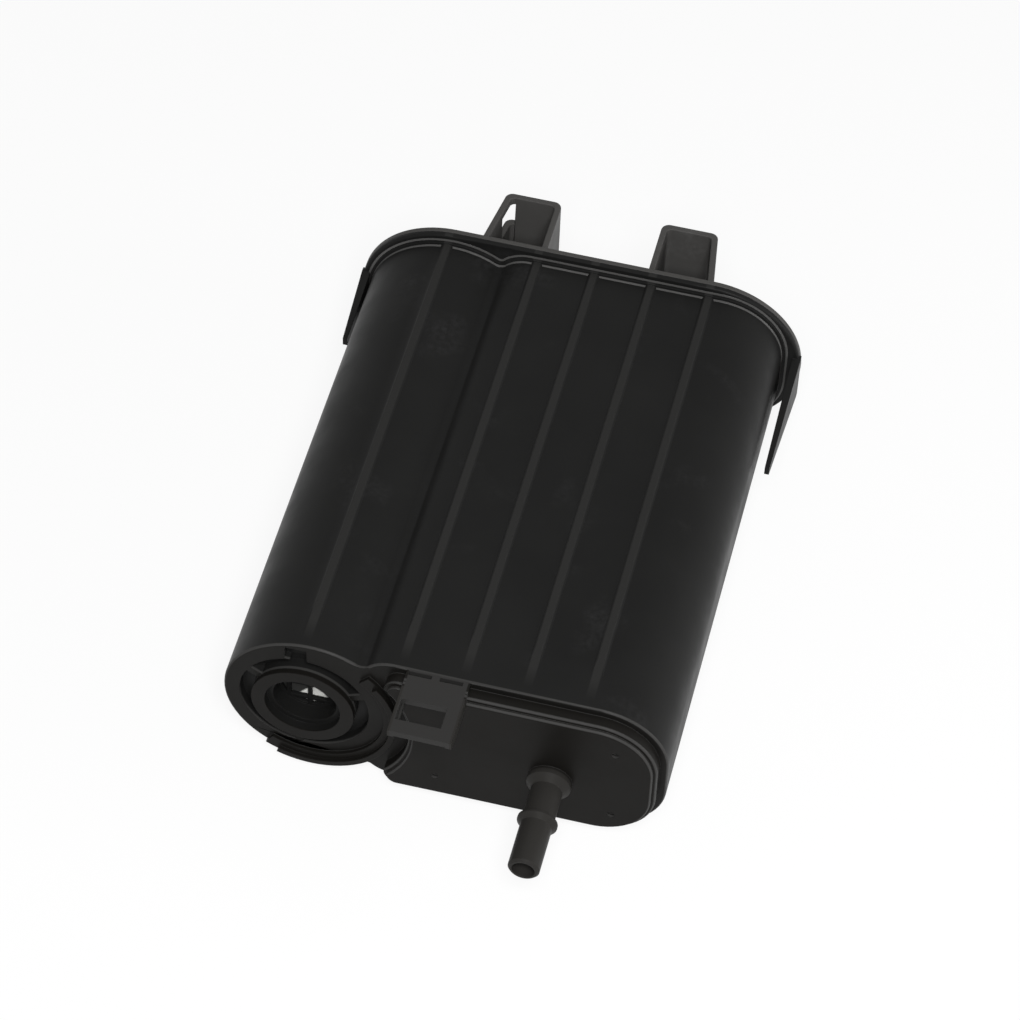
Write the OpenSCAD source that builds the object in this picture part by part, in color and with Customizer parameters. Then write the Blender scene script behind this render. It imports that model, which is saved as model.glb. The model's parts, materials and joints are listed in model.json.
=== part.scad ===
// Evaporative-emission charcoal canister, lying on its broad back.
// X runs across the two chambers, Y from the port end to the cover end, Z up.
// A wide main chamber and a round vent lobe are moulded side by side, so vapour enters at the
// tube, passes the main carbon bed, turns at the cover and leaves through the vent lobe's socket.

/* [Housing] */
// Width across both chambers
body_w = 180; // [165:1:210]
// Height of the housing, which is also the vent lobe's diameter
body_h = 72; // [64:1:84]
// Length from the port-end rim to the flange
body_l = 222; // [180:1:280]
// Wall thickness of the moulding
wall = 2.5; // [2:0.1:3.2]
// Thickness of the end wall behind the ports
end_t = 3; // [2:0.1:4]
// Corner radius on the outer side of the main chamber
corner_r = 28; // [20:1:31]
// Corner radius where the main chamber meets the vent lobe
inner_corner_r = 14; // [10:0.5:18]
// How far the outlines of the two chambers overlap
chamber_overlap = 16.5; // [14:0.5:20]
// Radius that softens the valley between the chambers
valley_r = 4; // [3:0.5:6]

/* [Ribs] */
// Width of a lengthwise rib at its crest
rib_w = 2.6; // [1.5:0.1:5]
// Width of a rib's sloping flank
rib_flank = 1.1; // [0.5:0.1:2]
// Height of a rib above the broad face
rib_h = 1; // [0.5:0.1:2]
// Where the ribs start to rise, measured from the port-end rim
rib_start = 9; // [4:1:20]
// Length over which a rib rises to its full height
rib_ramp = 14; // [4:1:30]
// Number of ribs on the main chamber
rib_count = 4; // [2:1:6]
// Distance from the flat's inner edge to the first rib
rib_inner_margin = 3; // [2.5:0.25:8]
// Distance from the last rib to the flat's outer edge
rib_outer_margin = 5.6; // [3:0.1:12]
// Shift of the vent lobe's rib towards the lobe's outer side
lobe_rib_shift = 2.5; // [0:0.5:4]

/* [Flange] */
// Overhang of both flanges round the housing
flange_out = 4.5; // [3:0.25:6]
// Overhang of both flanges at the main chamber's outer side
flange_side = 8; // [6:0.25:10]
// Thickness of the housing's flange
flange_t = 2.2; // [1.6:0.1:4]
// Overhang and length of the bead at the flange's foot
bead_out = 1.5; // [0.8:0.1:2.5]

/* [Port end] */
// How far the main chamber's end cap stands proud
cap_proud = 7; // [5:0.1:9]
// Margin from the housing's outline to the cap's lower step
cap_margin = 3.2; // [2:0.1:5]
// Margin and drop of the step along the cap's edge
cap_step = 1.6; // [1:0.1:2.5]
// Distance of the cap's hollow edge from the vent lobe
cap_gap = 5; // [3:0.5:7]
// Corner radius at the ends of that edge
cap_corner_r = 6; // [5.5:0.5:8]
// Radius of the small blind core-pin holes
pin_hole_r = 1.5; // [1:0.1:2]
// Distance of the two lower core-pin holes from the underside
pin_hole_low = 15.5; // [11:0.5:18]
// Distance of the upper core-pin hole from the top
pin_hole_high = 17; // [14:0.5:22]
// Distance of the inner core-pin hole from the flat's inner edge
pin_hole_inner = 19; // [10:0.5:28]
// Distance of the outer core-pin holes beyond the flat's outer edge
pin_hole_outer = 8; // [2:0.5:10]
// Depth of the core-pin holes
pin_hole_depth = 1.8; // [1:0.1:2.2]

/* [Vapour tube] */
// Outside radius of the tube
tube_r = 6.35; // [5:0.05:8]
// Bore radius of the tube
tube_bore_r = 4.6; // [3:0.1:5]
// Length of the tube in front of the cap
tube_l = 44; // [34:1:60]
// Distance of the tube's axis from the main chamber's outer side
tube_inset = 45; // [35:1:55]
// Drop of the tube's axis below mid height
tube_drop = 6; // [0:0.5:12]
// Radius of the retaining bead
tube_bead_r = 8.1; // [7:0.1:10]
// Distance of the bead from the tube's tip
tube_bead_at = 23; // [18:1:26]
// Radius of the collar at the tube's foot
tube_collar_r = 9; // [8.2:0.1:11]
// Length of the collar
tube_collar_l = 3; // [1:0.5:6]

/* [Vent socket] */
// Bore radius of the round socket
socket_r = 13; // [10:0.5:15]
// Radial width of the raised ring round the bore
socket_ring_w = 8; // [6:0.5:10]
// How far the ring stands proud
socket_proud = 2.5; // [1:0.5:4]
// Width of the seating shoulder just inside the ring
socket_shoulder_w = 2.5; // [1.5:0.5:4]
// Radial width of the bayonet groove round the ring
groove_w = 5.5; // [4:0.5:6]
// Depth of the bayonet groove
groove_depth = 5; // [3:0.5:6]
// Shift of the socket from the lobe's axis towards its outer side
socket_shift = 3; // [0:0.5:3]
// Width of a radial key that bridges the groove
key_w = 3; // [2:0.5:5]
// Width of the notch in the collar's top
notch_w = 9; // [6:0.5:12]
// Depth of the notch
notch_depth = 3.5; // [2:0.5:5]
// Radial width of each raised arc round the lobe's end
arc_w = 3; // [2:0.5:4]
// How far the outer arc stands proud
arc_proud = 3.4; // [2:0.1:5]
// Width and thickness of the grid's bars behind the bore
grid_bar = 1.6; // [1:0.1:2.4]
// Width of the lip that carries the grid
grid_lip = 1; // [0.6:0.1:2]

/* [Latch tongue] */
// Width of the tongue
latch_w = 25.4; // [20:0.2:30]
// Length of the tongue in front of the rim
latch_l = 30; // [26:1:36]
// Thickness of the tongue
latch_t = 3; // [2:0.1:4]
// Distance of the tongue's middle from the main chamber's inner side
latch_inset = 32.2; // [28:0.2:40]
// Length of the window in the tongue
latch_window_l = 10; // [8:0.5:14]
// Width of the tongue's front bar
latch_bar = 6; // [3:0.5:7]
// Width of the side bar next to the lobe
latch_side_in = 1.6; // [1.4:0.1:4]
// Width of the side bar on the other side
latch_side_out = 5.7; // [3:0.1:7]
// Depth of the two rails under the tongue's edges
latch_rail = 6; // [4:0.5:9]
// Width of the two relief slots at the tongue's root
latch_slot = 1.8; // [1:0.1:2.5]
// Width of the web beside the slots on the lobe's side
latch_web_in = 1; // [0.8:0.1:2]
// Width of the web beside the slots on the other side
latch_web_out = 2.8; // [1:0.1:4]
// Width of the web between the slots
latch_mid_web = 3.2; // [2:0.1:5]

/* [Cover] */
// Thickness of the cover's flange and panel
cover_t = 2.4; // [1.8:0.1:4]
// Height of the raised panel behind the flange
panel_h = 3; // [2:0.5:6]
// Margin from the housing's outline to the raised panel
panel_margin = 7; // [5:0.5:10]
// Height of the stiffening ribs on the panel
panel_rib_h = 3; // [1.5:0.5:5]

/* [Hanger loops] */
// Distance between the facing walls of the two loops
hook_gap = 43.9; // [36:0.1:52]
// Place of their middle, measured from the housing's middle
hook_mid_x = 6.65; // [0:0.05:14]
// Width of a loop at its root
hook_root_w = 28.8; // [26:0.2:34]
// Width of a loop at its tip
hook_tip_w = 24.7; // [20:0.1:26]
// Length of a loop behind the cover's flange
hook_l = 31.2; // [24:0.1:40]
// Wall thickness of a loop
hook_t = 2.6; // [2:0.1:4]
// Outer corner radius at the tip
hook_r = 3.5; // [2.7:0.1:5]
// Distance of a loop's upper edge below the housing's top
hook_drop = 0; // [0:0.5:8]
// Height of a loop
hook_h = 36; // [28:1:44]
// Height of the bar above the corner window of the first loop
hook_bar = 4; // [3:0.5:6]
// Height of the corner window
hook_window_h = 12; // [8:0.5:16]
// Length of the corner window along the loop's side wall
hook_window_l = 12.5; // [8:0.5:16]
// Width of the corner window along the loop's end wall
hook_window_w = 4.7; // [3:0.1:7]

/* [Snap arms] */
// Length of the arm next to the vent lobe
arm_l_vent = 31; // [25:1:50]
// Length of the arm next to the main chamber
arm_l_main = 54; // [40:1:70]
// Thickness of an arm at its tip
arm_tip_t = 2; // [1.5:0.1:3]
// Thickness of an arm at its root
arm_root_t = 3.6; // [3.4:0.1:5]
// How far the arm next to the main chamber leans in towards its tip
arm_lean = 1.6; // [0:0.1:2.5]
// Distance of an arm's middle below mid height
arm_drop = 4; // [0:0.5:8]
// Height of an arm at its root
arm_root_h = 24; // [16:1:28]
// Height of an arm at its tip
arm_tip_h = 4; // [3:0.5:8]

/* [Filling] */
// Depth from the port-end rim to the filters' seat
felt_seat = 10; // [9.5:0.5:16]
// Thickness of a felt filter
felt_t = 3; // [2:0.5:6]
// Thickness of a pressure plate
plate_t = 4; // [3:0.5:6]
// Radius of the holes in a pressure plate
plate_hole_r = 2.2; // [1:0.1:2.6]
// Pitch of the holes in a pressure plate
plate_pitch = 13; // [11:0.5:18]
// Distance between a pressure plate and the cover
spring_l = 27; // [20:1:34]
// Mean radius of a spring's coil
spring_r = 11; // [10:0.5:13]
// Radius of the spring wire
wire_r = 1.2; // [0.8:0.1:1.4]
// Turns of a spring
spring_turns = 5; // [4:0.5:5]
// Distance of a spring from the main chamber's middle
spring_offset = 27; // [20:1:34]
// Height of the bosses that centre a spring
spring_seat_h = 4; // [2:0.5:7]
// Distance of the felt's outer supports from the tube's axis
support_spread = 22; // [14:1:28]
// Distance of the felt's inner support from the flat's inner edge
support_inner = 12; // [6:1:20]
// Margin of the felt's supports from the broad walls
support_margin = 9; // [6:1:14]
// Clearance between the filling and the housing's walls
fit_gap = 0.3; // [0.2:0.05:0.4]
// Height of the passage past the partition at the cover
turn_gap = 14; // [8:1:20]

/* [Hidden] */
$fn = 64;

black = [0.13, 0.13, 0.135];
dark_grey = [0.17, 0.165, 0.16];
carbon = [0.06, 0.06, 0.06];
felt_white = [0.86, 0.86, 0.83];
plate_grey = [0.32, 0.33, 0.34];
steel = [0.62, 0.63, 0.65];

// How far a piece reaches into what it grows from, and past what it cuts
sink = 0.5;
cut = 1;

half_w = body_w / 2;
half_h = body_h / 2;
lobe_r = half_h;
lobe_x = -half_w + lobe_r;
main_left = lobe_x + lobe_r - chamber_overlap;
flat_left = main_left + inner_corner_r;
flat_right = half_w - corner_r;

// One crossing of two circles in the outline's plane, the one to the left of a to b
function circle_crossing(a, ra, b, rb) =
    let (
        d = norm(b - a),
        u = (b - a) / d,
        s = (d * d + ra * ra - rb * rb) / (2 * d)
    )
    a + u * s + [-u.y, u.x] * sqrt(ra * ra - s * s);

lobe_centre = [lobe_x, 0];
inner_corner = [flat_left, half_h - inner_corner_r];
valley = circle_crossing(lobe_centre, lobe_r, inner_corner, inner_corner_r);
// The softening circle reaches this far past tangency, so that the outlines cross cleanly
valley_bite = 0.05;
valley_centre = circle_crossing(
    lobe_centre, lobe_r + valley_r - valley_bite,
    inner_corner, inner_corner_r + valley_r - valley_bite);
partition_x = valley.x;

cover_y = body_l + flange_t;
panel_y = cover_y + cover_t;
hook_tip_y = panel_y + hook_l;
cap_left = lobe_x + lobe_r - cap_gap;
tube_x = half_w - tube_inset;
tube_z = -tube_drop;
tube_tip_y = -cap_proud - tube_l;
socket_x = lobe_x - socket_shift;
socket_ring_r = socket_r + socket_ring_w;
key_angles = [25, 148, 265];
arc_start = -104;
arc_stop = 30;
arc_growth = 9;
groove_r = socket_ring_r + groove_w;
latch_x = main_left + latch_inset;
notch_x = lobe_x - notch_w - socket_shift / 2;
hook_top = half_h - hook_drop;
flange_x = half_w + flange_side - flange_out - half_h;

// The springs press the plates against the beds, and the beds against the port-end filters
plate_y = cover_y - spring_l - plate_t;
bed_y = felt_seat + felt_t;
outlet_felt_y = plate_y - felt_t;
main_mid_x = (partition_x + half_w) / 2;
spring_seat_r = spring_r - wire_r - 2 * fit_gap;
spring_pad_r = spring_r + wire_r + cut;

// The part stands with the middle of its box over the origin and its flange on the ground
box_mid_x = (flange_side - flange_out) / 2;
box_mid_y = (hook_tip_y + tube_tip_y) / 2;
rest_z = half_h + flange_out;
module place() {
    translate([-box_mid_x, -box_mid_y, rest_z]) children();
}

// Extrudes an outline drawn in X and Z along Y
module along_y(y0, y1) {
    translate([0, y1, 0]) rotate([90, 0, 0]) linear_extrude(y1 - y0) children();
}

// Extrudes an outline drawn in Y and Z along X
module along_x(x0, x1) {
    translate([x0, 0, 0]) rotate([90, 0, 90]) linear_extrude(x1 - x0) children();
}

// Turns a profile of radius and Y about an axis parallel to Y
module turned(x, z) {
    translate([x, 0, z]) rotate([-90, 0, 0]) rotate_extrude() children();
}

module disc(x, z, r, y0, y1) {
    along_y(y0, y1) translate([x, z]) circle(r = r);
}

// Rectangle with one corner radius on its left side and another on its right side
module rounded_block(x0, x1, h, r0, r1) {
    translate([x0 + r0, -h]) square([x1 - x0 - r0 - r1, 2 * h]);
    for (side = [[x0 + r0, x0, r0], [x1 - r1, x1 - r1, r1]]) {
        translate([side[1], -h + side[2]]) square([side[2], 2 * (h - side[2])]);
        for (s = [-1, 1]) translate([side[0], s * (h - side[2])]) circle(r = side[2]);
    }
}

// Length of the housing's own section, drawn in or out by an even margin
module housing(y0, y1, inset = 0) {
    along_y(y0, y1) translate(lobe_centre) circle(r = lobe_r - inset);
    along_y(y0, y1) rounded_block(main_left + inset, half_w - inset, half_h - inset,
        inner_corner_r - inset, corner_r - inset);
    for (s = [-1, 1]) along_y(y0, y1) difference() {
        polygon([for (p = [lobe_centre, valley_centre, inner_corner]) [p.x, s * p.y]]);
        translate([valley_centre.x, s * valley_centre.y]) circle(r = valley_r + inset);
    }
}

// Outline round both chambers with two round ends, which runs straight across the valley
module bridged_outline(out) {
    r = half_h + out;
    for (x = [lobe_x, flange_x]) translate([x, 0]) circle(r = r);
    translate([lobe_x, -r]) square([flange_x - lobe_x, 2 * r]);
}

module main_room(inset) {
    rounded_block(partition_x + wall / 2 + inset, half_w - wall - inset, half_h - wall - inset,
        inner_corner_r - wall - inset, corner_r - wall - inset);
}

module vent_room(inset) {
    reach = lobe_r - wall - inset;
    intersection() {
        translate(lobe_centre) circle(r = reach);
        translate([lobe_x - reach, -reach])
            square([partition_x - wall / 2 - inset - lobe_x + reach, 2 * reach]);
    }
}

// Part of a ring between two angles, counted from +X towards +Z
module ring_sector(r0, r1, a0, a1) {
    far = 2 * r1;
    intersection() {
        difference() {
            circle(r = r1);
            circle(r = r0);
        }
        polygon([
            [0, 0],
            for (i = [0:2]) let (a = a0 + (a1 - a0) * i / 2) far * [cos(a), sin(a)],
        ]);
    }
}

// Lengthwise ribs with sloping flanks on one broad face, which ramp up from the port end
module face_ribs() {
    first = flat_left + rib_inner_margin;
    pitch = (flat_right - rib_outer_margin - first) / (rib_count - 1);
    foot = half_h - cut;
    crest = half_h + rib_h;
    half_crest = rib_w / 2;
    half_foot = half_crest + rib_flank * (rib_h + cut) / rib_h;
    for (x = [lobe_x - lobe_rib_shift, for (i = [0:rib_count - 1]) first + i * pitch])
        intersection() {
            along_x(x - half_foot, x + half_foot) polygon([
                [rib_start, foot],
                [rib_start + rib_ramp, crest],
                [body_l + sink, crest],
                [body_l + sink, foot],
            ]);
            along_y(0, body_l + sink) polygon([
                [x - half_foot, foot],
                [x - half_crest, crest],
                [x + half_crest, crest],
                [x + half_foot, foot],
            ]);
        }
}

// Stepped cap that closes the main chamber and leaves a plenum behind it
module cap_outline(margin) {
    step = margin - cap_margin;
    difference() {
        rounded_block(cap_left + step, half_w - margin, half_h - margin,
            cap_corner_r - step, corner_r - margin);
        translate(lobe_centre) circle(r = lobe_r + cap_gap + step);
    }
}

module main_cap() {
    along_y(-cap_proud + cap_step, end_t) cap_outline(cap_margin);
    along_y(-cap_proud, end_t) cap_outline(cap_margin + cap_step);
}

module pin_holes() {
    low = pin_hole_low - half_h;
    high = half_h - pin_hole_high;
    outer = flat_right + pin_hole_outer;
    for (p = [[flat_left + pin_hole_inner, low], [outer, high], [outer, low]])
        disc(p.x, p.y, pin_hole_r, -cap_proud - cut, -cap_proud + pin_hole_depth);
}

module vapour_tube() {
    tip_chamfer = (tube_r - tube_bore_r) / 2;
    bead_y = tube_tip_y + tube_bead_at;
    bead_rise = tube_bead_r - tube_r;
    bead_flat = 0.5;
    foot_y = -cap_proud + sink;
    collar_y = -cap_proud - tube_collar_l;
    turned(tube_x, tube_z) polygon([
        [0, tube_tip_y],
        [tube_r - tip_chamfer, tube_tip_y],
        [tube_r, tube_tip_y + tip_chamfer],
        [tube_r, bead_y - bead_rise - bead_flat],
        [tube_bead_r, bead_y - bead_flat],
        [tube_bead_r, bead_y + bead_flat],
        [tube_r, bead_y + bead_flat + bead_rise / 2],
        [tube_r, collar_y - tube_collar_r + tube_r],
        [tube_collar_r, collar_y],
        [tube_collar_r, foot_y],
        [0, foot_y],
    ]);
}

// Socket wall, bayonet groove and the steps on the lobe's end
module vent_socket() {
    disc(socket_x, 0, socket_ring_r, -socket_proud, groove_depth + end_t);
    disc(socket_x, 0, socket_r + wall, 0, felt_seat);
    for (i = [1, 2])
        along_y(-arc_proud / i, end_t) translate(lobe_centre)
            ring_sector(lobe_r - i * arc_w, lobe_r - sink, arc_start - i * arc_growth, arc_stop + i * arc_growth);
}

module socket_cuts() {
    // The groove stops at the radial keys
    difference() {
        along_y(-socket_proud - cut, groove_depth) translate([socket_x, 0]) difference() {
            circle(r = groove_r);
            circle(r = socket_ring_r);
        }
        for (a = key_angles) translate([socket_x, 0, 0]) rotate([0, -a, 0])
            translate([socket_ring_r - sink, 0, -key_w / 2]) cube([groove_w + 2 * sink, body_l, key_w]);
    }
    disc(socket_x, 0, socket_r, -socket_proud - cut, felt_seat - grid_bar);
    disc(socket_x, 0, socket_r - grid_lip, -socket_proud - cut, felt_seat + cut);
    disc(socket_x, 0, socket_r + socket_shoulder_w, -socket_proud - cut, socket_proud / 2);
    // Notch for the mating part's key in the collar's top
    translate([notch_x, -cut, groove_r - sink])
        cube([notch_w, notch_depth + cut, lobe_r - groove_r - wall]);
}

module socket_grid() {
    pitch = socket_r * 2 / 3;
    intersection() {
        disc(socket_x, 0, socket_r - grid_lip / 2, felt_seat - grid_bar, felt_seat);
        union() for (i = [-1:1]) {
            translate([socket_x + i * pitch - grid_bar / 2, 0, -lobe_r]) cube([grid_bar, felt_seat, body_h]);
            translate([socket_x - lobe_r, 0, i * pitch - grid_bar / 2]) cube([body_h, felt_seat, grid_bar]);
        }
    }
}

// Cantilever tongue with a catch window, in line with the housing's top
module latch_tongue() {
    x0 = latch_x - latch_w / 2;
    front = -latch_l;
    window_x = x0 + latch_side_in;
    window_w = latch_w - latch_side_in - latch_side_out;
    slot_y = -latch_slot - sink;
    slot_w = (latch_w - latch_mid_web - latch_web_in - latch_web_out) / 2;
    difference() {
        union() {
            translate([x0, front, half_h - latch_t]) cube([latch_w, latch_l + end_t, latch_t]);
            for (x = [x0, x0 + latch_w - wall])
                along_x(x, x + wall) polygon([
                    [front, half_h - latch_t - sink],
                    [front + latch_rail, half_h - latch_rail],
                    [end_t, half_h - latch_rail],
                    [end_t, half_h - sink],
                    [front, half_h - sink],
                ]);
        }
        translate([window_x, front + latch_bar, half_h - latch_t - cut])
            cube([window_w, latch_window_l, latch_t + 2 * cut]);
        for (x = [x0 + latch_web_in, x0 + latch_w - latch_web_out - slot_w])
            translate([x, slot_y, half_h - latch_t]) cube([slot_w, latch_slot, latch_t + cut]);
    }
}

// Arm on the flange that runs back beside the housing, thinner and lower towards its tip
module side_arm(outer_x, lean, l) {
    tip_y = body_l - l;
    tip_x = outer_x - lean;
    root_top = arm_root_h / 2 - arm_drop;
    tip_top = arm_tip_h / 2 - arm_drop;
    intersection() {
        translate([0, 0, -body_h]) linear_extrude(2 * body_h) polygon([
            [tip_x - arm_tip_t, tip_y],
            [tip_x, tip_y],
            [outer_x, body_l],
            [outer_x, cover_y],
            [outer_x - arm_root_t, cover_y],
            [outer_x - arm_root_t, body_l],
        ]);
        along_x(tip_x - arm_root_t - cut, outer_x + cut) polygon([
            [tip_y, tip_top - arm_tip_h],
            [body_l, root_top - arm_root_h],
            [cover_y, root_top - arm_root_h],
            [cover_y, root_top],
            [body_l, root_top],
            [tip_y, tip_top],
        ]);
    }
    // Tab of the flange that carries the arm
    translate([outer_x - 2 * flange_side, body_l, root_top - arm_root_h])
        cube([2 * flange_side, flange_t, arm_root_h]);
}

// Walls inside the plenum that carry the main chamber's inlet felt
module felt_supports() {
    h = body_h - 2 * (wall + support_margin);
    for (x = [flat_left + support_inner, tube_x - support_spread, tube_x + support_spread])
        translate([x - wall / 2, -cap_proud + sink, -h / 2])
            cube([wall, felt_seat + cap_proud - sink, h]);
}

module canister_body() color(black) {
    difference() {
        union() {
            housing(0, body_l);
            housing(body_l - bead_out, body_l, -bead_out);
            along_y(body_l, cover_y) bridged_outline(flange_out);
            mirror([1, 0, 0]) side_arm(half_w + flange_out, 0, arm_l_vent);
            side_arm(half_w + flange_side, arm_lean, arm_l_main);
            for (s = [0, 1]) mirror([0, 0, s]) face_ribs();
            main_cap();
            vapour_tube();
            vent_socket();
            latch_tongue();
        }
        difference() {
            along_y(end_t, cover_y + cut) main_room(0);
            disc(socket_x, 0, groove_r + wall, 0, groove_depth + end_t);
        }
        along_y(-cap_proud + end_t, end_t + cut) cap_outline(cap_margin + cap_step + wall);
        difference() {
            along_y(groove_depth + end_t, cover_y + cut) vent_room(0);
            disc(socket_x, 0, socket_r + wall, 0, felt_seat);
        }
        along_y(cover_y - turn_gap, cover_y + cut)
            translate([partition_x - wall, -half_h + 3 * wall]) square([2 * wall, body_h - 6 * wall]);
        disc(tube_x, tube_z, tube_bore_r, tube_tip_y - cut, end_t + cut);
        socket_cuts();
        pin_holes();
    }
    socket_grid();
    felt_supports();
}

// Outline of a loop seen from above, whose first wall is straight and whose second wall leans in
function loop_points(inset, l, r) = [
    [inset, 0],
    for (a = [180:-15:90]) [inset + r + r * cos(a), l - r + r * sin(a)],
    for (a = [90:-15:0]) [hook_tip_w - inset - r + r * cos(a), l - r + r * sin(a)],
    [hook_root_w - inset, 0],
];

module hanger_loop(windowed) {
    root = panel_y - sink;
    l = hook_l + sink;
    difference() {
        translate([0, root, hook_top - hook_h]) linear_extrude(hook_h) difference() {
            polygon(loop_points(0, l, hook_r));
            translate([0, -cut]) polygon(loop_points(hook_t, l + cut - hook_t, hook_r - hook_t / 2));
        }
        if (windowed)
            translate([hook_tip_w - hook_window_w, hook_tip_y - hook_window_l, hook_top - hook_bar - hook_window_h])
                cube([hook_root_w, hook_l, hook_window_h]);
    }
}

module end_cover() color(dark_grey) {
    rib_l = body_h - 2 * (panel_margin + corner_r / 4);
    difference() {
        union() {
            along_y(cover_y, panel_y) bridged_outline(flange_out);
            along_y(cover_y, panel_y + panel_h) bridged_outline(-panel_margin);
        }
        along_y(cover_y - cut, panel_y + panel_h - cover_t) bridged_outline(-panel_margin - cover_t);
    }
    // Upright stiffening ribs between the loops and beside them
    for (x = [lobe_x, hook_mid_x, flat_right])
        translate([x - wall / 2, panel_y + panel_h - sink, -rib_l / 2])
            cube([wall, panel_rib_h + sink, rib_l]);
    for (s = [0, 1])
        translate([hook_mid_x, 0, 0]) mirror([s, 0, 0]) translate([hook_gap / 2, 0, 0]) hanger_loop(s == 1);
    for (x = [lobe_x, main_mid_x - spring_offset, main_mid_x + spring_offset]) {
        disc(x, 0, spring_seat_r, cover_y - spring_seat_h, panel_y + panel_h - sink);
        disc(x, 0, spring_pad_r, cover_y, panel_y + panel_h - sink);
    }
}

module carbon_bed_main() color(carbon) along_y(bed_y, outlet_felt_y) main_room(fit_gap);
module carbon_bed_vent() color(carbon) along_y(bed_y, outlet_felt_y) vent_room(fit_gap);

module inlet_felt_main() color(felt_white) along_y(felt_seat, bed_y) main_room(fit_gap);
module inlet_felt_vent() color(felt_white) along_y(felt_seat, bed_y) vent_room(fit_gap);
module outlet_felt_main() color(felt_white) along_y(outlet_felt_y, plate_y) main_room(fit_gap);
module outlet_felt_vent() color(felt_white) along_y(outlet_felt_y, plate_y) vent_room(fit_gap);

// Flat plate of a chamber's section, with flow holes and bosses that centre its springs
module pressure_plate(holes, seats) {
    difference() {
        along_y(plate_y, plate_y + plate_t) children();
        for (p = holes) disc(p.x, p.y, plate_hole_r, plate_y - cut, plate_y + plate_t + cut);
    }
    for (x = seats) disc(x, 0, spring_seat_r, plate_y + sink, plate_y + plate_t + spring_seat_h);
}

// How far a place along a side has run into the round corner at its end
function past_corner(u, half) = max(u - half + corner_r, 0);

// The main plate's holes lie on a square grid, clear of its round corners and of the springs
module pressure_plate_main() color(plate_grey) {
    seats = [main_mid_x - spring_offset, main_mid_x + spring_offset];
    half_x = half_w - main_mid_x - wall;
    half_z = half_h - wall;
    edge = corner_r - wall - plate_hole_r;
    n = floor((half_x - wall - plate_hole_r) / plate_pitch);
    m = floor((half_z - wall - plate_hole_r) / plate_pitch);
    holes = [
        for (i = [-n:n], j = [-m:m]) let (
            p = [main_mid_x + i * plate_pitch, j * plate_pitch],
            from_spring = min([for (x = seats) norm(p - [x, 0])]),
            corner = [past_corner(abs(p.x - main_mid_x), half_x), past_corner(abs(p.y), half_z)])
            if (from_spring > spring_pad_r + plate_hole_r && norm(corner) < edge) p
    ];
    pressure_plate(holes, seats) main_room(2 * fit_gap);
}

// The vent plate's holes lie on an arc between its spring and its round edge
module pressure_plate_vent() color(plate_grey) {
    r = (spring_pad_r + lobe_r - wall) / 2;
    step = 360 / floor(360 / (2 * asin(plate_pitch / 2 / r)));
    holes = [
        for (a = [step / 2:step:360]) let (p = lobe_centre + r * [cos(a), sin(a)])
            if (p.x < partition_x - wall - 2 * plate_hole_r) p
    ];
    pressure_plate(holes, [lobe_x]) vent_room(2 * fit_gap);
}

// Compression spring with closed ends, swept as a six-sided wire along its helix
module coil_spring(x) {
    closed = 0.6;
    steps = 14;
    sides = 6;
    rings = ceil(spring_turns * steps);
    seat_gap = fit_gap / 6;
    low = wire_r * cos(180 / sides) + seat_gap;
    rise = spring_l - 2 * low;
    function climb(t) = min(max((t - closed) / (spring_turns - 2 * closed), 0), 1);
    points = [
        for (i = [0:rings]) let (t = spring_turns * i / rings, a = 360 * t, y = low + rise * climb(t))
            for (k = [0:sides - 1]) let (
                b = 360 * k / sides,
                r = spring_r + wire_r * cos(b))
                [r * cos(a), y + wire_r * sin(b), r * sin(a)]
    ];
    faces = [
        [for (k = [0:sides - 1]) k],
        for (i = [0:rings - 1], k = [0:sides - 1]) let (n = (k + 1) % sides)
            [i * sides + k, (i + 1) * sides + k, (i + 1) * sides + n, i * sides + n],
        [for (k = [sides - 1:-1:0]) rings * sides + k],
    ];
    translate([x, plate_y + plate_t, 0]) polyhedron(points, faces);
}

module spring_main_inner() color(steel) coil_spring(main_mid_x - spring_offset);
module spring_main_outer() color(steel) coil_spring(main_mid_x + spring_offset);
module spring_vent() color(steel) coil_spring(lobe_x);

place() canister_body();
place() end_cover();
place() carbon_bed_main();
place() carbon_bed_vent();
place() inlet_felt_main();
place() outlet_felt_main();
place() inlet_felt_vent();
place() outlet_felt_vent();
place() pressure_plate_main();
place() pressure_plate_vent();
place() spring_main_inner();
place() spring_main_outer();
place() spring_vent();
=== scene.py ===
"""Looks of the charcoal canister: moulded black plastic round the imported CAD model."""
import json
import math

import bpy
from mathutils import Matrix, Vector


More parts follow.
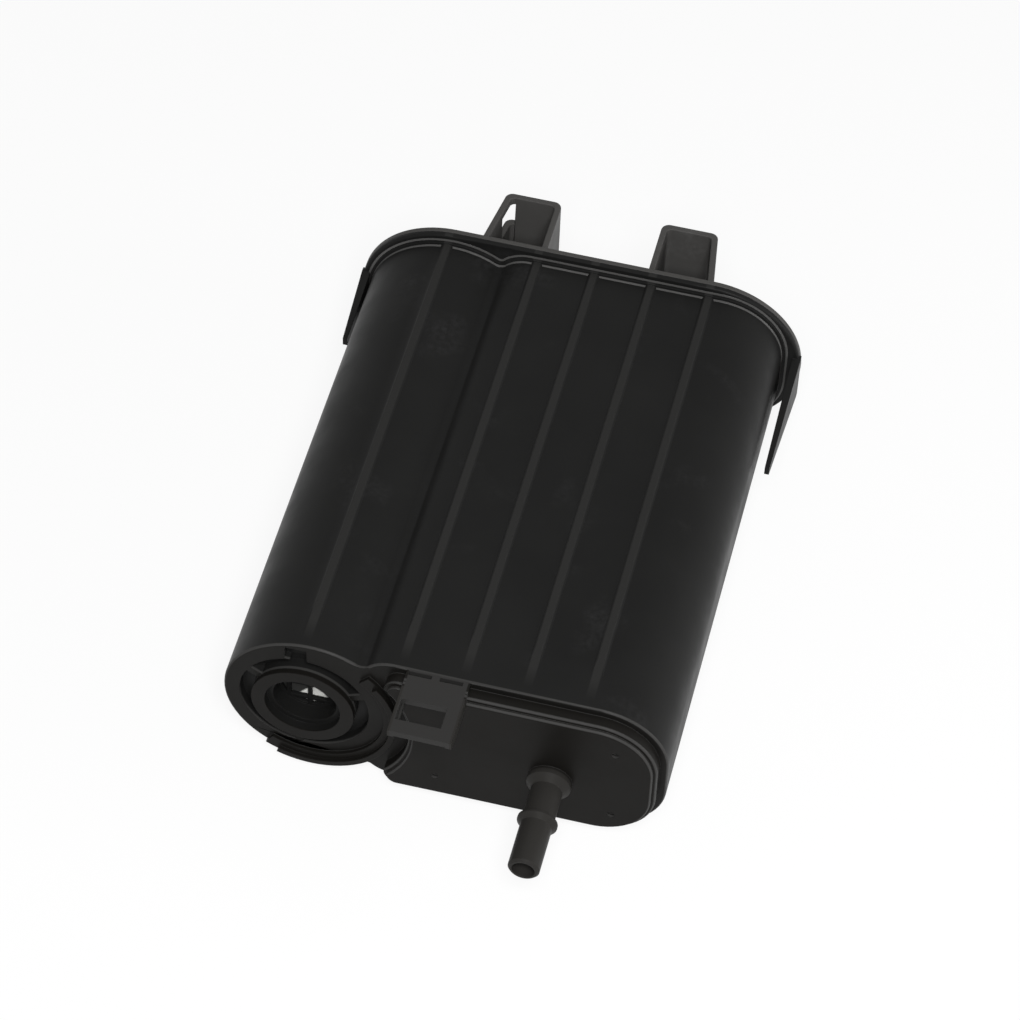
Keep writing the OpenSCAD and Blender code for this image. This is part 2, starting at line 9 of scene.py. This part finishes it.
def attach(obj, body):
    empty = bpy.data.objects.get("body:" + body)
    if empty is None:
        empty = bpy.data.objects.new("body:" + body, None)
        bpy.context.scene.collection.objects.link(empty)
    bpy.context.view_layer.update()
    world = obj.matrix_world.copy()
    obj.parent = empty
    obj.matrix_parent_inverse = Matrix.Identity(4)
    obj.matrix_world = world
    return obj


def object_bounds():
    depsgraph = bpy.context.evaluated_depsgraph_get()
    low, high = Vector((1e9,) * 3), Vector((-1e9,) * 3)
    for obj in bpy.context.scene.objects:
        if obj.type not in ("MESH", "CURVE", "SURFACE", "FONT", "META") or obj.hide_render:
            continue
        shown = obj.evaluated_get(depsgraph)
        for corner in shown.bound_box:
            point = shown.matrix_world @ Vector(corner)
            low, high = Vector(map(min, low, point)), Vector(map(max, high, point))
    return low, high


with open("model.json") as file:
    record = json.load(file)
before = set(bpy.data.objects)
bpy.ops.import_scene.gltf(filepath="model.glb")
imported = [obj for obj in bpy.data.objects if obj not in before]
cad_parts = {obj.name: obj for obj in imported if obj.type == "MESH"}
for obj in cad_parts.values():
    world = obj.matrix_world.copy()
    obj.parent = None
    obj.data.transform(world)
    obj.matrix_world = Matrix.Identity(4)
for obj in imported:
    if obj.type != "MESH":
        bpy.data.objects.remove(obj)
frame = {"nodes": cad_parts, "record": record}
cad_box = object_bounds()
nodes = frame["nodes"]
MM = 0.001

# Camera of the photograph, which looks down on the port end from the front, a little to the right
CAMERA_AIM = Vector((-3.88, 12.58, 40.9)) * MM
CAMERA_AZIMUTH = math.radians(12.21)
CAMERA_ELEVATION = math.radians(50.72)
CAMERA_ROLL = math.radians(2.38)
CAMERA_DISTANCE = 1590.8 * MM
CAMERA_LENS = 136.5
CAMERA_SENSOR = 36.0
CAMERA_CLIP = (0.05, 20.0)

# Places on the housing: the rim at the port end, the cap in front of it and the flange behind
RIM_Y = -103.4 * MM
CAP_PROUD = 7.0 * MM
CAP_STEP = 1.6 * MM
CAP_Y = RIM_Y - CAP_PROUD
FLANGE_Y = 118.6 * MM
MID_Z = 40.5 * MM
LOBE_X = -55.75 * MM
LOBE_R = 36.0 * MM
SOCKET_X = -58.75 * MM
SOCKET_Y = RIM_Y - 2.2 * MM
SOCKET_R = 15.5 * MM
LATCH_X = (-16.0 * MM, 8.0 * MM)
LATCH_Z = 68.0 * MM

# Ribs along the upper and lower sides, one on the lobe and a row on the main chamber, and the painted sheen
# along their crests, which fades out towards the port end
LOBE_RIB_X = -58.25 * MM
RIB_FIRST_X = -19.25 * MM
RIB_PITCH = 24.633 * MM
RIB_COUNT = 4
RIBS_X = (LOBE_RIB_X, *(RIB_FIRST_X + i * RIB_PITCH for i in range(RIB_COUNT)))
RIB_SHEEN_HALF = 2.0 * MM
RIB_SHEEN_END_Y = RIM_Y + 4.0 * MM
RIB_SHEEN_FADE = 10.0 * MM

# Section of the housing, and the fillet where it meets the flange
FLAT_LEFT = -22.25 * MM
FLAT_RIGHT = 60.25 * MM
INNER_CORNER_R = 14 * MM
CORNER_R = 28 * MM
VALLEY_R = 4 * MM
FILLET_R = 2.4 * MM
FILLET_SINK = 0.4 * MM
FILLET_STEPS = 6
ARC_STEP = 3.0

# Edge rounding of the mouldings: the rims are the softest
PORT_RIMS = (RIM_Y, CAP_Y + CAP_STEP, CAP_Y)
RIM_PLANES = (*PORT_RIMS, FLANGE_Y)
RIM_ROUND = 1.1 * MM
RIM_SHORTEST = 1.2 * MM
RIM_TOLERANCE = 0.05 * MM
EDGE_ROUND = 0.45 * MM
EDGE_ANGLE = math.radians(32)
ROUND_SEGMENTS = 3
SMOOTH_ANGLE = math.radians(38)
FLAT_ANGLE = math.radians(0.4)
WELD_DISTANCE = 0.002 * MM

# Linear colours of each plastic: its dark and light clouds, and the smudges on it
HOUSING_TONES = ((0.0088, 0.0088, 0.0086), (0.0108, 0.0108, 0.0105), (0.021, 0.021, 0.0212))
# The fillet's tones are a painted highlight: the housing's black plastic made pale so that the fillet shows
# as a bright line
FILLET_HIGHLIGHT_TONES = ((0.06, 0.059, 0.0576), (0.07, 0.0688, 0.0672), (0.08, 0.079, 0.0775))
COVER_TONES = ((0.055, 0.0535, 0.051), (0.07, 0.068, 0.066), (0.09, 0.088, 0.086))
PLATE_TONES = ((0.07, 0.072, 0.075), (0.1, 0.103, 0.107), (0.14, 0.14, 0.14))

# Tones of single places on the housing
PORT_TONE = (0.0068, 0.0063, 0.0056)
TUBE_TONE = (0.0215, 0.0205, 0.019)
# Painted highlight along the rounded rims at the port end
RIM_HIGHLIGHT_TONE = (0.036, 0.0355, 0.0345)
# Painted highlight: sheen along the rib crests
RIB_SHEEN_TONE = (0.0195, 0.0193, 0.0187)
LATCH_TONE = (0.027, 0.0264, 0.0256)
# Painted shade inside the vent socket's hollow
BORE_SHADE_TONE = (0.0085, 0.0085, 0.0082)

# Range of roughness, and specular level, which is low because the white studio turns the plastic grey
SATIN = (0.36, 0.48)
POLISHED = (0.28, 0.36)
FAINT_MIRROR = 0.06
FILLET_MIRROR = 0.25
PLASTIC_IOR = 1.5

# Felt: colours of the fibres and of the painted shadow cast on it, and the peak of the lit patch below that
# shadow
FIBRE_TONES = ((0.62, 0.62, 0.58), (0.92, 0.92, 0.89))
FELT_SHADOW_TONE = (0.012, 0.012, 0.011)
LIT_PATCH_X = -57.5 * MM
LIT_PATCH_TOP = 39.5 * MM
SHADOW_EDGE_RAGGED = 3.0 * MM
SHADOW_EDGE_BLEND = 1.0 * MM

# Colours of the other inner pieces and of the floor
PELLET_TONES = ((0.012, 0.012, 0.012), (0.03, 0.03, 0.03))
WIRE_TONES = ((0.45, 0.46, 0.48), (0.62, 0.63, 0.65))
FLOOR_TONES = ((0.84, 0.84, 0.84), (0.88, 0.88, 0.88))
WHITE = (1, 1, 1, 1)

# Studio: level of the light all round, glow of the floor, and each softbox's place, size and power
STUDIO_LEVEL = 0.14
FLOOR_WHITE = 0.88
FLOOR_HALF = 4.0
FLOOR_GAP = 0.2 * MM
LIGHT_AIM = Vector((0, 0, 0.04))
SOFTBOXES = {
    "key": ((0.28, -0.98, 1.4), (0.5, 0.5), 31.0),
    "side": ((1.3, 0.1, 0.2), (0.4, 0.9), 10.0),
}


# Node helpers

def new_material(name):
    material = bpy.data.materials.new(name)
    material.use_nodes = True
    tree = material.node_tree
    tree.nodes.clear()
    output = tree.nodes.new("ShaderNodeOutputMaterial")
    shader = tree.nodes.new("ShaderNodeBsdfPrincipled")
    tree.links.new(shader.outputs["BSDF"], output.inputs["Surface"])
    return material, tree, shader


def feed(tree, socket, value):
    """Links an input to another socket, or sets it to a value."""
    if isinstance(value, bpy.types.NodeSocket):
        tree.links.new(value, socket)
    else:
        socket.default_value = value


def add(tree, kind, links=None, **values):
    """A new node with its properties set by name, and its inputs set or linked by name."""
    node = tree.nodes.new(kind)
    for key, value in values.items():
        setattr(node, key, value)
    for key, value in (links or {}).items():
        feed(tree, node.inputs[key], value)
    return node


def object_place(tree):
    return add(tree, "ShaderNodeTexCoord").outputs["Object"]


def noise(tree, place, scale, detail=3.0, roughness=0.55):
    made = add(tree, "ShaderNodeTexNoise",
               {"Vector": place, "Scale": scale, "Detail": detail, "Roughness": roughness})
    return made.outputs["Fac"]


def stretch(tree, value, low, high, to_low=0.0, to_high=1.0):
    made = add(tree, "ShaderNodeMapRange", {
        "Value": value, "From Min": low, "From Max": high, "To Min": to_low, "To Max": to_high})
    return made.outputs["Result"]


def past(tree, value, edge, blend):
    """Mask from 0 at the edge to 1 a blend further on; a negative blend masks what lies below the edge."""
    return stretch(tree, value, edge, edge + blend)


def mixed(tree, factor, a, b):
    made = add(tree, "ShaderNodeMix", data_type="RGBA")
    tree.links.new(factor, made.inputs[0])
    for socket, value in ((made.inputs[6], a), (made.inputs[7], b)):
        feed(tree, socket, (*value, 1.0) if isinstance(value, tuple) else value)
    return made.outputs[2]


def math_of(tree, operation, a, b=0.0):
    made = add(tree, "ShaderNodeMath", operation=operation)
    for socket, value in zip(made.inputs, (a, b)):
        feed(tree, socket, value)
    return made.outputs[0]


def size_of(tree, value, centre=0.0):
    """How far a value is from a centre, on either side."""
    return math_of(tree, "ABSOLUTE", math_of(tree, "SUBTRACT", value, centre))


def all_of(tree, *masks):
    total = masks[0]
    for mask in masks[1:]:
        total = math_of(tree, "MULTIPLY", total, mask)
    return total


def any_of(tree, *masks):
    total = masks[0]
    for mask in masks[1:]:
        total = math_of(tree, "MAXIMUM", total, mask)
    return total


def axis_distance(tree, x, z, axis_x):
    """Distance from an axis along Y at half height."""
    flat = add(tree, "ShaderNodeCombineXYZ", {"X": x, "Z": z})
    gap = add(tree, "ShaderNodeVectorMath", operation="DISTANCE")
    tree.links.new(flat.outputs[0], gap.inputs[0])
    gap.inputs[1].default_value = (axis_x, 0.0, MID_Z)
    return gap.outputs["Value"]


# Materials

def moulded_plastic(name, tones, recolour=None, gloss=SATIN, mirror=FAINT_MIRROR):
    """Satin black nylon: cloudy tone, a fine grain, soft edges and faint pale handling smudges."""
    material, tree, shader = new_material(name)
    place = object_place(tree)
    dark, light, smudge = tones
    cloud = noise(tree, place, scale=22.0, detail=5.0)
    tone = mixed(tree, stretch(tree, cloud, 0.35, 0.68), dark, light)
    patch = stretch(tree, noise(tree, place, scale=30.0, detail=2.0), 0.58, 0.74)
    fleck = stretch(tree, noise(tree, place, scale=420.0), 0.35, 0.75)
    tone = mixed(tree, all_of(tree, patch, fleck), tone, smudge)
    if recolour:
        tone = recolour(tree, place, tone)
    tree.links.new(tone, shader.inputs["Base Color"])
    sheen = noise(tree, place, scale=60.0, detail=4.0)
    tree.links.new(stretch(tree, sheen, 0.3, 0.7, *gloss), shader.inputs["Roughness"])
    soft = add(tree, "ShaderNodeBevel", {"Radius": EDGE_ROUND}, samples=4)
    grain = noise(tree, place, scale=2600.0, detail=2.0)
    bump = add(tree, "ShaderNodeBump", {
        "Height": grain, "Strength": 0.12, "Distance": 0.02 * MM, "Normal": soft.outputs[0]})
    tree.links.new(bump.outputs["Normal"], shader.inputs["Normal"])
    shader.inputs["IOR"].default_value = PLASTIC_IOR
    shader.inputs["Specular IOR Level"].default_value = mirror
    return material


def housing_marks_and_painted_light(tree, place, tone):
    """Painted highlights on the rims and rib crests, a paler latch and tube, a warmer port end and painted
    shade in the socket's hollow.
    """
    x, y, z = add(tree, "ShaderNodeSeparateXYZ", {"Vector": place}).outputs
    normal = add(tree, "ShaderNodeNewGeometry").outputs["Normal"]
    facing = add(tree, "ShaderNodeSeparateXYZ", {"Vector": normal}).outputs
    level = stretch(tree, size_of(tree, facing["Z"]), 0.55, 0.8)
    beside = stretch(tree, size_of(tree, facing["Y"]), 0.97, 0.85)

    tone = mixed(tree, past(tree, y, RIM_Y + 1.5 * MM, -2.0 * MM), tone, PORT_TONE)
    tone = mixed(tree, past(tree, y, CAP_Y - 0.5 * MM, -1.0 * MM), tone, TUBE_TONE)
    # Painted highlight: a pale band on the rounded part of each rim at the port end
    rims = any_of(tree, *(
        past(tree, size_of(tree, y, plane + 0.4 * RIM_ROUND), 0.7 * RIM_ROUND, -0.3 * RIM_ROUND)
        for plane in PORT_RIMS))
    tone = mixed(tree, all_of(tree, rims, beside), tone, RIM_HIGHLIGHT_TONE)
    # Painted highlight: a pale sheen along the rib crests on the upper and lower faces
    rib_sheen = any_of(tree, *(
        past(tree, size_of(tree, x, rib_x), RIB_SHEEN_HALF, -0.25 * RIB_SHEEN_HALF) for rib_x in RIBS_X))
    tone = mixed(tree, all_of(tree, rib_sheen, level, past(tree, y, RIB_SHEEN_END_Y, RIB_SHEEN_FADE)), tone, RIB_SHEEN_TONE)
    latch = all_of(
        tree, past(tree, x, LATCH_X[0], 0.4 * MM), past(tree, x, LATCH_X[1], -0.4 * MM),
        past(tree, z, LATCH_Z, 0.4 * MM), past(tree, y, RIM_Y + 0.5 * MM, -0.5 * MM))
    tone = mixed(tree, latch, tone, LATCH_TONE)
    from_axis = axis_distance(tree, x, z, SOCKET_X)
    # Painted shade: darker inside the vent socket's hollow
    bore_shade = all_of(
        tree, past(tree, from_axis, SOCKET_R + 0.3 * MM, -0.2 * MM), past(tree, y, SOCKET_Y, 0.5 * MM))
    return mixed(tree, bore_shade, tone, BORE_SHADE_TONE)


def felt_material():
    """Pale needled felt with matted fibres, blackened by a painted shadow above a lit patch."""
    material, tree, shader = new_material("felt")
    place = object_place(tree)
    fibre = noise(tree, place, scale=900.0, detail=6.0, roughness=0.7)
    felt_colour = mixed(tree, fibre, *FIBRE_TONES)
    x, _, z = add(tree, "ShaderNodeSeparateXYZ", {"Vector": place}).outputs
    height = math_of(tree, "ADD", z, size_of(tree, x, LIT_PATCH_X))
    ragged = math_of(tree, "MULTIPLY", noise(tree, place, scale=300.0, detail=4.0), SHADOW_EDGE_RAGGED)
    # Painted shadow over the felt above the lit patch, with a ragged edge
    felt_shadow = past(tree, math_of(tree, "ADD", height, ragged), LIT_PATCH_TOP, SHADOW_EDGE_BLEND)
    tree.links.new(mixed(tree, felt_shadow, felt_colour, FELT_SHADOW_TONE), shader.inputs["Base Color"])
    bump = add(tree, "ShaderNodeBump", {"Height": fibre, "Strength": 0.6, "Distance": 0.3 * MM})
    tree.links.new(bump.outputs["Normal"], shader.inputs["Normal"])
    shader.inputs["Roughness"].default_value = 0.95
    return material


def carbon_material():
    """Packed black pellets."""
    material, tree, shader = new_material("carbon")
    pellet = add(tree, "ShaderNodeTexVoronoi", {"Vector": object_place(tree), "Scale": 450.0})
    edge = pellet.outputs["Distance"]
    tree.links.new(mixed(tree, edge, *PELLET_TONES), shader.inputs["Base Color"])
    bump = add(tree, "ShaderNodeBump", {"Height": edge, "Strength": 0.8, "Distance": 0.8 * MM})
    tree.links.new(bump.outputs["Normal"], shader.inputs["Normal"])
    shader.inputs["Roughness"].default_value = 0.8
    return material


def steel_material():
    """Bright drawn spring wire with fine draw marks."""
    material, tree, shader = new_material("spring_steel")
    draw = noise(tree, object_place(tree), scale=1500.0)
    tree.links.new(mixed(tree, draw, *WIRE_TONES), shader.inputs["Base Color"])
    tree.links.new(stretch(tree, draw, 0.3, 0.7, 0.25, 0.4), shader.inputs["Roughness"])
    shader.inputs["Metallic"].default_value = 1.0
    return material


# Painted highlight: the fillet's plastic is the housing's black made pale
fillet_highlight_plastic = moulded_plastic("fillet_highlight_plastic", FILLET_HIGHLIGHT_TONES, gloss=POLISHED, mirror=FILLET_MIRROR)
MATERIALS = {
    "housing_plastic": moulded_plastic("housing_plastic", HOUSING_TONES, housing_marks_and_painted_light),
    "cover_plastic": moulded_plastic("cover_plastic", COVER_TONES),
    "plate_plastic": moulded_plastic("plate_plastic", PLATE_TONES),
    "felt": felt_material(),
    "carbon": carbon_material(),
    "spring_steel": steel_material(),
}


# Geometry nodes that weld the tessellated faces, pick the edges to round and shade by angle

def geometry_group(name):
    group = bpy.data.node_groups.new(name, "GeometryNodeTree")
    group.interface.new_socket("Geometry", in_out="INPUT", socket_type="NodeSocketGeometry")
    group.interface.new_socket("Geometry", in_out="OUTPUT", socket_type="NodeSocketGeometry")
    start = group.nodes.new("NodeGroupInput")
    stop = group.nodes.new("NodeGroupOutput")
    return group, start.outputs[0], stop.inputs[0]


def weld_group():
    group, start, stop = geometry_group("weld_faces")
    bare = add(group, "GeometryNodeRemoveAttribute", {"Geometry": start, "Name": "custom_normal"})
    weld = add(group, "GeometryNodeMergeByDistance",
               {"Geometry": bare.outputs[0], "Distance": WELD_DISTANCE})
    group.links.new(weld.outputs[0], stop)
    return group


def rim_weight(group):
    """1 on the long outer edges of the housing's rims, clear of the lobe's face and the latch."""
    x, y, z = add(group, "ShaderNodeSeparateXYZ",
                  {"Vector": add(group, "GeometryNodeInputPosition").outputs[0]}).outputs
    angle = add(group, "GeometryNodeInputMeshEdgeAngle").outputs["Signed Angle"]
    convex = math_of(group, "GREATER_THAN", angle, EDGE_ANGLE)
    ends = add(group, "GeometryNodeInputMeshEdgeVertices")
    length = add(group, "ShaderNodeVectorMath", operation="DISTANCE")
    group.links.new(ends.outputs["Position 1"], length.inputs[0])
    group.links.new(ends.outputs["Position 2"], length.inputs[1])
    long_edge = math_of(group, "GREATER_THAN", length.outputs["Value"], RIM_SHORTEST)
    planes = []
    for plane in RIM_PLANES:
        near = math_of(group, "COMPARE", y, plane)
        near.node.inputs[2].default_value = RIM_TOLERANCE
        planes.append(near)
    from_lobe = axis_distance(group, x, z, LOBE_X)
    outside = math_of(group, "GREATER_THAN", from_lobe, LOBE_R - 0.5 * MM)
    latch = all_of(group, math_of(group, "GREATER_THAN", x, LATCH_X[0]),
                   math_of(group, "LESS_THAN", x, LATCH_X[1]),
                   math_of(group, "GREATER_THAN", z, LATCH_Z))
    free = math_of(group, "SUBTRACT", 1.0, latch)
    return all_of(group, any_of(group, *planes), convex, long_edge, outside, free)


def edge_weight(group):
    """A small share of the rims' rounding on every sharp edge."""
    angle = add(group, "GeometryNodeInputMeshEdgeAngle").outputs["Unsigned Angle"]
    sharp = math_of(group, "GREATER_THAN", angle, EDGE_ANGLE)
    return math_of(group, "MULTIPLY", sharp, EDGE_ROUND / RIM_ROUND)


def weight_group(name, weight):
    group, start, stop = geometry_group(name)
    store = add(group, "GeometryNodeStoreNamedAttribute",
                {"Geometry": start, "Name": "bevel_weight_edge", "Value": weight(group)},
                data_type="FLOAT", domain="EDGE")
    group.links.new(store.outputs[0], stop)
    return group


def shade_group():
    group, start, stop = geometry_group("shade_by_angle")
    smooth = add(group, "GeometryNodeSetShadeSmooth",
                 {"Geometry": start, "Shade Smooth": True}, domain="FACE")
    angle = add(group, "GeometryNodeInputMeshEdgeAngle")
    sharp = add(group, "FunctionNodeCompare", data_type="FLOAT", operation="GREATER_THAN")
    group.links.new(angle.outputs["Unsigned Angle"], sharp.inputs[0])
    sharp.inputs[1].default_value = SMOOTH_ANGLE
    edges = add(group, "GeometryNodeSetShadeSmooth", {
        "Geometry": smooth.outputs[0], "Selection": sharp.outputs[0], "Shade Smooth": False}, domain="EDGE")
    group.links.new(edges.outputs[0], stop)
    return group


WELD = weld_group()
RIM_WEIGHTS = weight_group("rim_weights", rim_weight)
EDGE_WEIGHTS = weight_group("edge_weights", edge_weight)
SHADE = shade_group()


def dress(node, weights=None):
    """Gives a CAD node smooth shading and, if weights are given, rounded edges."""
    piece = nodes[node]
    piece.modifiers.new("weld", "NODES").node_group = WELD
    flat = piece.modifiers.new("flat_faces", "DECIMATE")
    flat.decimate_type = "DISSOLVE"
    flat.angle_limit = FLAT_ANGLE
    if weights:
        piece.modifiers.new("edge_weights", "NODES").node_group = weights
        edge = piece.modifiers.new("edge_round", "BEVEL")
        edge.width = RIM_ROUND
        edge.segments = ROUND_SEGMENTS
        edge.limit_method = "WEIGHT"
        edge.use_clamp_overlap = False
    piece.modifiers.new("shade", "NODES").node_group = SHADE
    normals = piece.modifiers.new("flat_normals", "WEIGHTED_NORMAL")
    normals.keep_sharp = True


for part in frame["record"]["subparts"]:
    slots = nodes[part["node"]].data.materials
    slots.clear()
    slots.append(MATERIALS[part["material_slot"]])
dress("canister_body", RIM_WEIGHTS)
dress("end_cover", EDGE_WEIGHTS)
dress("pressure_plate_main")
dress("pressure_plate_vent")


# Fillet between the housing and its flange, which follows the valley between the lobes; its pale tone is a
# painted highlight along the flange

def arc(centre, r, first, last, inward=False):
    """Points of an arc in X and Z with their outward normals; a hollow arc's normals point to its centre."""
    steps = max(4, round(abs(last - first) / ARC_STEP))
    for i in range(steps + 1):
        angle = math.radians(first + (last - first) * i / steps)
        out = Vector((math.cos(angle), math.sin(angle)))
        yield centre + r * out, -out if inward else out


def bearing(start, end):
    """Direction from one point to another, in degrees."""
    way = end - start
    return math.degrees(math.atan2(way.y, way.x))


def upper_section():
    """Upper half of the housing's section, from the lobe's side round to the main chamber's side."""
    lobe = Vector((LOBE_X, 0.0))
    inner = Vector((FLAT_LEFT, LOBE_R - INNER_CORNER_R))
    corner = Vector((FLAT_RIGHT, LOBE_R - CORNER_R))
    reach = inner - lobe
    lobe_reach = LOBE_R + VALLEY_R
    inner_reach = INNER_CORNER_R + VALLEY_R
    along = (reach.length_squared + lobe_reach ** 2 - inner_reach ** 2) / (2 * reach.length)
    unit = reach.normalized()
    aside = Vector((-unit.y, unit.x))
    valley = lobe + unit * along + aside * math.sqrt(lobe_reach ** 2 - along ** 2)
    from_lobe = bearing(lobe, valley)
    from_inner = bearing(inner, valley)
    yield from arc(lobe, LOBE_R, 180.0, from_lobe)
    yield from arc(valley, VALLEY_R, from_lobe - 180.0, from_inner - 180.0, inward=True)
    yield from arc(inner, INNER_CORNER_R, from_inner, 90.0)
    yield from arc(corner, CORNER_R, 90.0, 0.0)


def fillet_profile():
    """Section of the fillet, as steps out of the housing's side and back from the flange."""
    yield -FILLET_SINK, FILLET_SINK
    yield -FILLET_SINK, -FILLET_R
    for i in range(FILLET_STEPS + 1):
        turn = math.radians(90.0 * i / FILLET_STEPS)
        yield FILLET_R * (1 - math.cos(turn)), FILLET_R * (math.sin(turn) - 1)
    yield FILLET_R, FILLET_SINK


def flange_fillet():
    upper = list(upper_section())
    lower = [(Vector((p.x, -p.y)), Vector((n.x, -n.y))) for p, n in reversed(upper)]
    ring = upper + lower
    profile = list(fillet_profile())
    verts = []
    for place, normal in ring:
        for out, back in profile:
            at = place + normal * out
            verts.append((at.x, FLANGE_Y + back, MID_Z + at.y))
    count = len(profile)
    faces = []
    for i in range(len(ring)):
        here = i * count
        there = (i + 1) % len(ring) * count
        for j in range(count):
            k = (j + 1) % count
            faces.append((here + j, there + j, there + k, here + k))
    mesh = bpy.data.meshes.new("flange_fillet")
    mesh.from_pydata(verts, [], faces)
    mesh.materials.append(fillet_highlight_plastic)
    mesh.shade_smooth()
    piece = bpy.data.objects.new("flange_fillet", mesh)
    bpy.context.scene.collection.objects.link(piece)
    piece.modifiers.new("shade", "NODES").node_group = SHADE
    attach(piece, "root")


flange_fillet()


# Floor, light and camera

def seen_white(tree):
    """1 where the white background shows: to the camera, in reflections and through glass."""
    path = add(tree, "ShaderNodeLightPath").outputs
    return any_of(tree, path["Is Camera Ray"], path["Is Glossy Ray"], path["Is Transmission Ray"])


def floor_material():
    """White sweep that keeps the part's soft shadow."""
    material, tree, shader = new_material("floor")
    speckle = noise(tree, object_place(tree), scale=8.0)
    tree.links.new(mixed(tree, speckle, *FLOOR_TONES), shader.inputs["Base Color"])
    shader.inputs["Roughness"].default_value = 0.9
    white = add(tree, "ShaderNodeEmission", {"Color": WHITE, "Strength": 1.0})
    share = math_of(tree, "MULTIPLY", seen_white(tree), FLOOR_WHITE)
    seen = add(tree, "ShaderNodeMixShader", {"Fac": share})
    tree.links.new(shader.outputs[0], seen.inputs[1])
    tree.links.new(white.outputs[0], seen.inputs[2])
    output = next(node for node in tree.nodes if node.type == "OUTPUT_MATERIAL")
    tree.links.new(seen.outputs[0], output.inputs["Surface"])
    return material


def make_floor():
    mesh = bpy.data.meshes.new("floor")
    corners = [(FLOOR_HALF * x, FLOOR_HALF * y, 0) for x, y in ((-1, -1), (1, -1), (1, 1), (-1, 1))]
    mesh.from_pydata(corners, [], [(0, 1, 2, 3)])
    mesh.materials.append(floor_material())
    floor = bpy.data.objects.new("floor", mesh)
    bpy.context.scene.collection.objects.link(floor)
    floor.location.z = cad_box[0].z - FLOOR_GAP


def make_world():
    world = bpy.data.worlds.new("studio")
    bpy.context.scene.world = world
    world.use_nodes = True
    tree = world.node_tree
    tree.nodes.clear()
    dim = add(tree, "ShaderNodeBackground", {"Color": WHITE, "Strength": STUDIO_LEVEL})
    white = add(tree, "ShaderNodeBackground", {"Color": WHITE, "Strength": 1.0})
    mix = add(tree, "ShaderNodeMixShader", {"Fac": seen_white(tree)})
    tree.links.new(dim.outputs[0], mix.inputs[1])
    tree.links.new(white.outputs[0], mix.inputs[2])
    output = add(tree, "ShaderNodeOutputWorld")
    tree.links.new(mix.outputs[0], output.inputs["Surface"])


def softbox(name, place, size, power):
    lamp = bpy.data.lights.new(name, "AREA")
    lamp.shape = "RECTANGLE"
    lamp.size, lamp.size_y = size
    lamp.energy = power
    holder = bpy.data.objects.new(name, lamp)
    holder.location = place
    holder.rotation_mode = "QUATERNION"
    holder.rotation_quaternion = (LIGHT_AIM - Vector(place)).to_track_quat("-Z", "Y")
    bpy.context.scene.collection.objects.link(holder)


def make_camera():
    right = Vector((math.cos(CAMERA_AZIMUTH), math.sin(CAMERA_AZIMUTH), 0))
    level_back = Vector((math.sin(CAMERA_AZIMUTH), -math.cos(CAMERA_AZIMUTH), 0))
    back = math.cos(CAMERA_ELEVATION) * level_back + Vector((0, 0, math.sin(CAMERA_ELEVATION)))
    up = back.cross(right)
    turned_right = math.cos(CAMERA_ROLL) * right + math.sin(CAMERA_ROLL) * up
    turned_up = math.cos(CAMERA_ROLL) * up - math.sin(CAMERA_ROLL) * right
    data = bpy.data.cameras.new("camera")
    data.lens = CAMERA_LENS
    data.sensor_width = CAMERA_SENSOR
    data.clip_start, data.clip_end = CAMERA_CLIP
    camera = bpy.data.objects.new("camera", data)
    turn = Matrix((turned_right, turned_up, back)).transposed().to_4x4()
    camera.matrix_world = Matrix.Translation(CAMERA_AIM + back * CAMERA_DISTANCE) @ turn
    bpy.context.scene.collection.objects.link(camera)
    bpy.context.scene.camera = camera


make_floor()
make_world()
for box_name, (box_place, box_size, box_power) in SOFTBOXES.items():
    softbox(box_name, box_place, box_size, box_power)
make_camera()
bpy.context.scene.view_settings.view_transform = "Standard"
